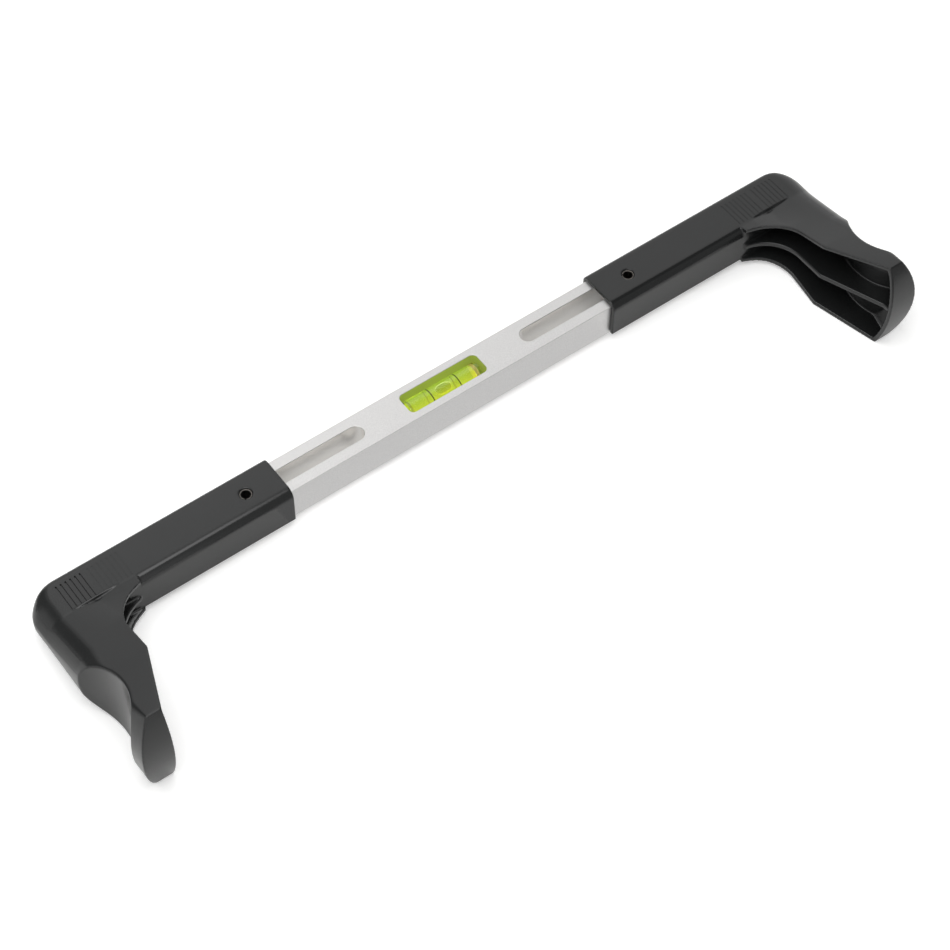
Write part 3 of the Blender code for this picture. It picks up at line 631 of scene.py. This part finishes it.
# the hook's face starts a step below the grooves, in two facets that meet at a valley
def dentAt(u, y):
    dent = arm["dent"]
    along = (-y - dent["step"]) / dent["reach"]
    if not 0 < along < 1:
        return 0
    valley = dent["valley"] - along * dent["turn"]
    outer = dent["outer"] - along * dent["turn"]
    across = (outer - u) / (outer - valley) if u > valley else (u - dent["inner"]) / (valley - dent["inner"])
    return dent["depth"] * max(across, 0) * (1 - along)


def hookSection(y, inner, inset):
    blend = arm["cornerBlend"] + way(y, 0, arm["filletEnd"]) * (arm["edgeBlend"] - arm["cornerBlend"])
    blend += way(y, arm["filletEnd"], arm["tip"]) * (arm["tipBlend"] - arm["edgeBlend"])
    edge, bulge = edgeAt(y) - inset, wallAt(y) - inset
    blend = min(max(blend - inset, arm["tipBlend"]), (edge - inner) / 2)
    above = outerSide(riseAt(y) - inset, edge, bulge, blend)
    spread = way(y, arm["kink"], arm["tip"]) * arm["spreadBelow"]
    below = outerSide(fallAt(y) - inset, edge + spread, bulge, blend)[:-1]
    start, startBelow = above[0][0], below[0][0]
    steps = arm["faceSteps"]
    top = [inner + (start - inner) * k / steps for k in range(steps)]
    outline = []
    for u in top:
        dent = dentAt(u, y) if inset == 0 else 0
        outline.append((u, riseAt(y) - inset + rimLift(y, u, start) - dent))
    outline += above + [(u, -at) for u, at in reversed(below)]
    bottom = [startBelow + (inner - startBelow) * k / steps for k in range(1, steps + 1)]
    outline += [(u, inset - fallAt(y) - rimLift(y, u, startBelow)) for u in bottom]
    return [(u, y, hookMid + at) for u, at in outline]


# where sections stand: evenly, and wherever the shape turns
def hookPlaces(start, step=1.5, nearest=0.4):
    last = arm["tip"] + arm["tipBulge"] + arm["past"]
    dent = arm["dent"]
    fixed = [-dent["step"], -dent["step"] - dent["lip"], -arm["filletEnd"], -arm["kink"], -arm["tip"], -last]
    fixed += [y for y, _ in arcPoints((arm["sleeveHalf"] - arm["sleeveEdge"], 0), arm["sleeveEdge"], 0, 90, 8)]
    fixed = [y for y in fixed if y < start - 0.05] + [start]
    even = [start - k * step for k in range(1, int((start + last) / step) + 1)]
    places = fixed + [y for y in even if min(abs(y - other) for other in fixed) > nearest]
    return sorted(places, reverse=True)


# rings of points joined one to the next, with both ends closed
def loft(sections):
    shape = bmesh.new()
    rings = [[shape.verts.new(point) for point in section] for section in sections]
    for ring, following in zip(rings, rings[1:]):
        for k in range(len(ring)):
            after = (k + 1) % len(ring)
            shape.faces.new((ring[k], ring[after], following[after], following[k]))
    shape.faces.new(rings[0])
    shape.faces.new(rings[-1])
    bmesh.ops.remove_doubles(shape, verts=shape.verts, dist=0.001)
    bmesh.ops.triangulate(shape, faces=shape.faces)
    bmesh.ops.recalc_face_normals(shape, faces=shape.faces)
    return shape


def box(low, high):
    shape = bmesh.new()
    bmesh.ops.create_cube(shape, size=1)
    low, high = Vector(low), Vector(high)
    bmesh.ops.scale(shape, vec=high - low, verts=shape.verts)
    bmesh.ops.translate(shape, vec=(low + high) / 2, verts=shape.verts)
    return shape


def circle(centre, radius, at, steps, axis="Z"):
    points = arcPoints(centre, radius, 0, 360, steps)[1:]
    if axis == "X":
        return [(at, y, z) for y, z in points]
    return [(x, y, at) for x, y in points]


def makeArmShape():
    half, edge, past = arm["sleeveHalf"], arm["sleeveEdge"], arm["past"]
    cutters = []

    def cutter(shape):
        piece = newPiece("cutter", shape)
        cutters.append(piece)
        return piece

    def tipRoller(inset):
        rise, fall = sleeveRise + arm["flareAbove"], sleeveRise + arm["flareBelow"]
        halfHeight, middle = (rise + fall) / 2, hookMid + (rise - fall) / 2
        radius = (halfHeight ** 2 + arm["tipBulge"] ** 2) / (2 * arm["tipBulge"])
        centre = (-arm["tip"] - arm["tipBulge"] + radius, middle)
        ends = (-arm["past"], arm["length"] + arm["past"])
        return cutter(loft([circle(centre, radius - inset, at, arm["tipSteps"], "X") for at in ends]))

    def scoopRoller(grow):
        rows = []
        for at in (-arm["scoopReach"], arm["scoopReach"]):
            u = scoopMid + (riseAt(-arm["scoopDrop"]) - at) * arm["scoopLean"]
            radius = arm["scoopRadius"] + grow
            rows.append(circle((u, -arm["scoopDrop"]), radius, hookMid + at, arm["scoopSteps"]))
        return cutter(loft(rows))

    outer = loft([hookSection(y, max(rimAt(y), arm["filletStart"]), 0.0) for y in hookPlaces(half)])
    body = newPiece("armShape", outer)
    combine(body, tipRoller(0), "INTERSECT")
    combine(body, scoopRoller(0), "DIFFERENCE")
    middle = half - edge
    outline = arcPoints((middle, half - edge), edge, 0, 90, 10)
    # the edge towards the hooks runs further down the front than across the top
    deep, across = arm["frontEdge"], arm["frontAcross"]
    outline += [(across * (1 + y) - half, half + deep * (z - 1)) for y, z in arcPoints((0, 0), 1, 90, 180, 14)]
    outline += [(-half, arm["sleeveBottom"]), (half, arm["sleeveBottom"])]
    sleeve = loft([[(at, y, z) for y, z in outline] for at in (0.0, arm["filletStart"] + 0.3)])
    combine(body, cutter(sleeve), "UNION")

    start = arm["filletStart"] - past
    hollow = cutter(loft([hookSection(y, start, arm["hookWall"]) for y in hookPlaces(-half)]))
    combine(hollow, tipRoller(arm["hookWall"]), "INTERSECT")
    combine(hollow, scoopRoller(arm["hookWall"]), "DIFFERENCE")
    rib = []
    for y in hookPlaces(-half + arm["wall"]):
        inner, outerEnd, thick = rimAt(y) + arm["ribSetback"], arm["length"] + past, arm["ribHalf"]
        rib.append([(inner, y, thick), (outerEnd, y, thick), (outerEnd, y, -thick), (inner, y, -thick)])
    combine(hollow, cutter(loft(rib)), "DIFFERENCE")
    combine(body, hollow, "DIFFERENCE")

    rear = arm["channelEnd"] - arm["channelCorner"]
    side = arm["channelHalf"]
    places = [y for y in hookPlaces(side) if y > -side] + [-side]
    combine(body, cutter(loft([hookSection(y, rear, arm["hookWall"]) for y in places])), "DIFFERENCE")
    channel = box((-past, -side, arm["sleeveBottom"] - past), (arm["channelEnd"], side, side))
    combine(body, cutter(channel), "DIFFERENCE")

    # the boss, its foot and the bore for the roll pin, split crosswise
    at, steps, low = (arm["pinPlace"], 0), arm["pinSteps"], arm["footEnd"] - past
    boss = loft([circle(at, arm["bossRadius"], z, steps) for z in (arm["footEnd"] + arm["footLead"], side + 1)])
    foot = loft([circle(at, arm["footRadius"] - arm["footTaper"], arm["footEnd"], steps),
                 circle(at, arm["footRadius"], arm["footTop"], steps)])
    combine(body, cutter(boss), "UNION")
    combine(body, cutter(foot), "UNION")
    bore, step = arm["pinBore"], arm["mouthStep"]
    hole = loft([circle(at, bore, low, steps), circle(at, bore, half - step, steps),
                 circle(at, bore + 2 * step, half + step, steps)])
    combine(body, cutter(hole), "DIFFERENCE")
    long, slit = arm["footRadius"] + arm["slitPast"], arm["bossSlit"] / 2 + arm["slitPast"]
    for x, y in ((long, slit), (slit, long)):
        shape = box((at[0] - x, -y, low), (at[0] + x, y, arm["footEnd"] + arm["slitDepth"]))
        combine(body, cutter(shape), "DIFFERENCE")
    applyModifiers(body)
    print("arm cut:", len(body.data.polygons), "faces")

    # moulded edges are never sharp: a fine voxel skin, relaxed, rounds them all
    skin = body.modifiers.new("skin", "REMESH")
    skin.mode, skin.voxel_size = "VOXEL", arm["voxel"]
    applyModifiers(body)
    relax = body.modifiers.new("relax", "SMOOTH")
    relax.factor, relax.iterations = arm["relax"], arm["rounding"]
    # the scoop's upper edge is rounded most, for the thumb
    soft = body.vertex_groups.new(name="scoop edge")
    for vert in body.data.vertices:
        u, y, z = vert.co
        if y > arm["scoopEdgeStart"]:
            continue
        away = abs(math.hypot(u - scoopMid, y + arm["scoopDrop"]) - arm["scoopRadius"])
        away = max(away, abs(hookMid + riseAt(y) - z))
        weight = (arm["scoopEdgeReach"] - away) / arm["scoopEdgeWidth"]
        if weight > 0:
            soft.add([vert.index], min(weight, 1), "REPLACE")
    relax = body.modifiers.new("relax scoop", "SMOOTH")
    relax.factor, relax.iterations, relax.vertex_group = arm["relax"], arm["scoopRounding"], soft.name
    applyModifiers(body)
    print("arm skinned:", len(body.data.polygons), "faces")
    for piece in cutters:
        bpy.data.objects.remove(piece)
    return body


# grip grooves across the top of the sleeve, one block at a time
grooves = {"inset": 16.1, "pitch": 2.45, "gap": 4.0, "width": 0.75, "length": 14.6, "counts": (6, 7),
           "depths": {"left": (0.7, 0.14), "right": (0.17, 0.17)}, "keepBeyond": 4.0, "keepBelow": 1.2}


def gripGroovesTree():
    tree, given = newTree("gripGrooves", {"Count": whole, "First": vector, "Pitch": vector, "Rod": vector,
                                          "Material": finish})
    places = addNode(tree, "GeometryNodeMeshLine", {"Count": given["Count"], "Start Location": given["First"],
                                                    "Offset": given["Pitch"]})
    # a square rod, sunk by half its height, leaves each groove
    rod = addNode(tree, "GeometryNodeMeshCube", {"Size": given["Rod"]})
    rows = addNode(tree, "GeometryNodeInstanceOnPoints", {"Points": places, "Instance": rod})
    real = addNode(tree, "GeometryNodeRealizeInstances", {0: rows})
    cut = addNode(tree, "GeometryNodeMeshBoolean", {"Mesh 1": given["Geometry"], "Mesh 2": real},
                  operation="DIFFERENCE")
    endTree(tree, cut, given["Material"])
    return tree


# a slotted spring pin: a strip of spring steel rolled round, with eased rims
pin = {"radius": 3.0, "wall": 0.6, "slit": 0.9, "low": -8.9, "high": 11.8, "easing": 0.14, "steps": 72,
       "turns": {"left": -126.0, "right": 144.0}}


def rollPin(name, side, material):
    gap = math.degrees(math.asin(pin["slit"] / 2 / pin["radius"]))
    start = pin["turns"][name] + gap
    place = side * (arm["mouth"] + arm["pinPlace"])
    inner, outer, ease = pin["radius"] - pin["wall"], pin["radius"], pin["easing"]
    low, high = pin["low"], pin["high"]
    profile = [(inner + ease, low), (outer - ease, low), (outer, low + ease), (outer, high - ease),
               (outer - ease, high), (inner + ease, high), (inner, high - ease), (inner, low + ease)]
    sections = []
    for k in range(pin["steps"] + 1):
        turn = math.radians(start + (360 - 2 * gap) * k / pin["steps"])
        sections.append([(place + r * math.cos(turn), r * math.sin(turn), z) for r, z in profile])
    piece = newPiece(f"rollPin_{name}", loft(sections), material)
    finishPiece(piece, f"{name}_arm_and_pin", f"{name}_roll_pin")


def makeArms():
    plastic, steel = mouldedPlastic(), oxidisedSteel()
    tree, model, top = gripGroovesTree(), makeArmShape(), arm["sleeveHalf"]
    for name, side in sides.items():
        mesh = model.data.copy()
        # a hair less from hook to back, so that the skin stays inside the tool's box
        mesh.transform(Matrix.Translation((arm["mouth"], 0, 0)) @ Matrix.Scale(arm["skinInset"], 4, (0, 1, 0)))
        if side < 0:
            mesh.transform(Matrix.Scale(-1, 4, (1, 0, 0)))
            mesh.flip_normals()
        piece = newPiece(f"{name}Arm", mesh, plastic)
        place = arm["mouth"] + arm["length"] - grooves["inset"]
        for count, depth in zip(grooves["counts"], grooves["depths"][name]):
            runTree(piece, tree, {"Count": count, "First": (side * place, 0.0, top),
                                  "Pitch": (-side * grooves["pitch"], 0.0, 0.0),
                                  "Rod": (grooves["width"], grooves["length"], 2 * depth), "Material": plastic})
            place -= (count - 1) * grooves["pitch"] + grooves["gap"]
        # the grip grooves stay as they are while the rest is thinned
        far = piece.vertex_groups.new(name="away from the grip")
        grip = place - grooves["keepBeyond"]
        far.add([v.index for v in piece.data.vertices
                 if v.co.z < top - grooves["keepBelow"] or abs(v.co.x) < grip or v.co.y < -top], 1.0, "REPLACE")
        thin = piece.modifiers.new("thin out", "DECIMATE")
        thin.ratio, thin.vertex_group = min(arm["faces"] / (2 * len(piece.data.polygons)), 1), far.name
        applyModifiers(piece)
        piece.vertex_groups.clear()
        finishPiece(piece, f"{name}_arm_and_pin", f"{name}_arm", angle=50.0, weighted=True)
        rollPin(name, side, steel)
        print(f"{name} arm made:", len(piece.data.polygons), "faces")
    bpy.data.objects.remove(model)


# the studio: a white table and a soft box overhead. Mirror rays don't see the soft box, which would
# burn out the bare metal; they see cards, given by strength and corners, in the level's frame
studio = {
    "table": 4000.0, "tableColor": "#F4F4F3", "tableRoughness": 0.8, "tableGlow": 0.35, "tableMirrorGlow": 0.03,
    "boxLow": (-700.0, -528.0), "boxHigh": (175.0, 430.0), "boxHeight": 1000.0, "boxRadiance": 3.0,
    "skyMirror": 0.92, "skyLight": 0.5,
    "cards": {
        "cardOverhead": (0.08, ((175, -528, 1000), (1675, -528, 1000), (1675, 300, 1000), (175, 300, 1000))),
        "cardBox": (1.2, ((-700, -528, 999), (175, -528, 999), (175, 430, 999), (-700, 430, 999))),
        "cardStrip": (3.2, ((-700, -400, 998), (175, -400, 998), (175, 140, 998), (-700, 140, 998))),
        "cardGap": (0.1, ((-300, 465, 1000), (500, 465, 1000), (500, 515, 1000), (-300, 515, 1000))),
        "cardRear": (1.4, ((-200, 540, 1000), (330, 540, 1000), (330, 1050, 1000), (-200, 1050, 1000))),
        "cardRearRight": (1.1, ((330, 540, 1000), (900, 540, 1000), (900, 1050, 1000), (330, 1050, 1000))),
        "cardFront": (0.3, ((0, -528, 1000), (1400, -528, 1000), (1400, -1300, -300), (170, -1300, -300))),
        "cardBack": (0.24, ((-300, 410, -90), (-592, 410, -90), (-592, 410, 1100), (-300, 410, 1100))),
        "cardBackEdge": (0.55, ((-235, 410, -90), (-300, 410, -90), (-300, 410, 1000), (-235, 410, 1000))),
        "cardBackFar": (0.5, ((-592, 410, -90), (-720, 410, -90), (-720, 410, 1100), (-592, 410, 1100))),
    },
    # painted shade: darker cards on parts of the table, seen by mirror rays only, given the same way by corners in
    # plan
    "paintedShadePatches": {
        "patchFront": (0.35, ((-125, -70), (200, -135), (1400, -1300), (170, -1300))),
        "patchBar": (0.76, ((-95, -80), (95, -80), (95, -12.5), (-95, -12.5))),
        "patchBack": (0.3, ((-222, 50), (-265, 50), (-592, 410), (-239, 410))),
    },
}


def mirrorCard(name, radiance, corners):
    material, _, _ = newMaterial(name, "#000000", {"Roughness": 1.0, "Specular IOR Level": 0.0,
                                                   "Emission Color": (1, 1, 1, 1), "Emission Strength": radiance})
    shape = bmesh.new()
    shape.faces.new([shape.verts.new(corner) for corner in corners])
    card = newPiece(name, shape, material)
    card.visible_camera = card.visible_diffuse = card.visible_shadow = False
    card.visible_transmission = card.visible_volume_scatter = False
    return card


def makeStudio():
    white, tree, shader = newMaterial("paleTable", studio["tableColor"], {"Roughness": studio["tableRoughness"],
                                                                          "Emission Color": (1, 1, 1, 1)})
    rays = addNode(tree, "ShaderNodeLightPath").outputs
    seen = addNode(tree, "ShaderNodeMath", {0: rays["Is Camera Ray"], 1: rays["Is Transmission Ray"]},
                   operation="MAXIMUM")
    mirrored = addNode(tree, "ShaderNodeMath", {0: rays["Is Glossy Ray"], 1: studio["tableMirrorGlow"]},
                       operation="MULTIPLY")
    glow = addNode(tree, "ShaderNodeMath", {0: seen, 1: studio["tableGlow"], 2: mirrored}, operation="MULTIPLY_ADD")
    feed(shader, {"Emission Strength": glow})
    shape = bmesh.new()
    bmesh.ops.create_grid(shape, x_segments=1, y_segments=1, size=studio["table"] / 2 * mm)
    table = newPiece("table", shape, white)
    table.data.transform(Matrix.Translation((0, 0, cadBox[0][2])))

    for name, (radiance, corners) in studio["cards"].items():
        mirrorCard(name, radiance, corners).data.transform(level @ Matrix.Scale(mm, 4))
    # the painted shade on the table, for mirror rays
    for name, (radiance, corners) in studio["paintedShadePatches"].items():
        corners = [(x * mm, y * mm + level.translation.y, cadBox[0][2] + mm) for x, y in corners]
        mirrorCard(name, radiance, corners)

    low, high = studio["boxLow"], studio["boxHigh"]
    lamp = bpy.data.lights.new("softBox", "AREA")
    lamp.shape = "RECTANGLE"
    lamp.size, lamp.size_y = (high[0] - low[0]) * mm, (high[1] - low[1]) * mm
    lamp.energy = studio["boxRadiance"] * math.pi * lamp.size * lamp.size_y
    softBox = bpy.data.objects.new("softBox", lamp)
    bpy.context.scene.collection.objects.link(softBox)
    middle = Vector(((low[0] + high[0]) / 2, (low[1] + high[1]) / 2, studio["boxHeight"])) * mm
    softBox.matrix_world = level @ Matrix.Translation(middle)
    softBox.visible_glossy = False

    # the sky looks nearly white wherever it's seen, and lights the tool less
    world = bpy.data.worlds.new("studioSky")
    bpy.context.scene.world = world
    world.use_nodes = True
    tree = world.node_tree
    rays = addNode(tree, "ShaderNodeLightPath").outputs
    seen = addNode(tree, "ShaderNodeMath", {0: rays["Is Glossy Ray"], 1: rays["Is Transmission Ray"]},
                   operation="MAXIMUM")
    seen = addNode(tree, "ShaderNodeMath", {0: seen, 1: rays["Is Camera Ray"]}, operation="MAXIMUM")
    strength = addNode(tree, "ShaderNodeMapRange", {"Value": seen, "To Min": studio["skyLight"],
                                                    "To Max": studio["skyMirror"]})
    feed(tree.nodes["Background"], {"Color": (1, 1, 1, 1), "Strength": strength})
    print("studio made")


# the camera of the photograph, placed in the level's frame
camera = {
    "place": (-407.713, -572.499, 921.266), "right": (0.806243, -0.591559, 0.005532),
    "view": (0.347014, 0.465335, -0.814275), "lens": 92.281, "sensor": 36.0,
    "clip": (0.05, 20.0),
}


def makeCamera():
    data = bpy.data.cameras.new("camera")
    data.lens, data.sensor_width = camera["lens"], camera["sensor"]
    data.clip_start, data.clip_end = camera["clip"]
    piece = bpy.data.objects.new("camera", data)
    bpy.context.scene.collection.objects.link(piece)
    right, back = Vector(camera["right"]).normalized(), -Vector(camera["view"]).normalized()
    up = back.cross(right).normalized()
    turn = Matrix((right, up, back)).transposed().to_4x4()
    piece.matrix_world = level @ Matrix.Translation(Vector(camera["place"]) * mm) @ turn
    bpy.context.scene.camera = piece
    print("camera placed")


makeBar()
makeVial()
makeArms()
makeStudio()
makeCamera()
bpy.context.scene.view_settings.view_transform = "Standard"
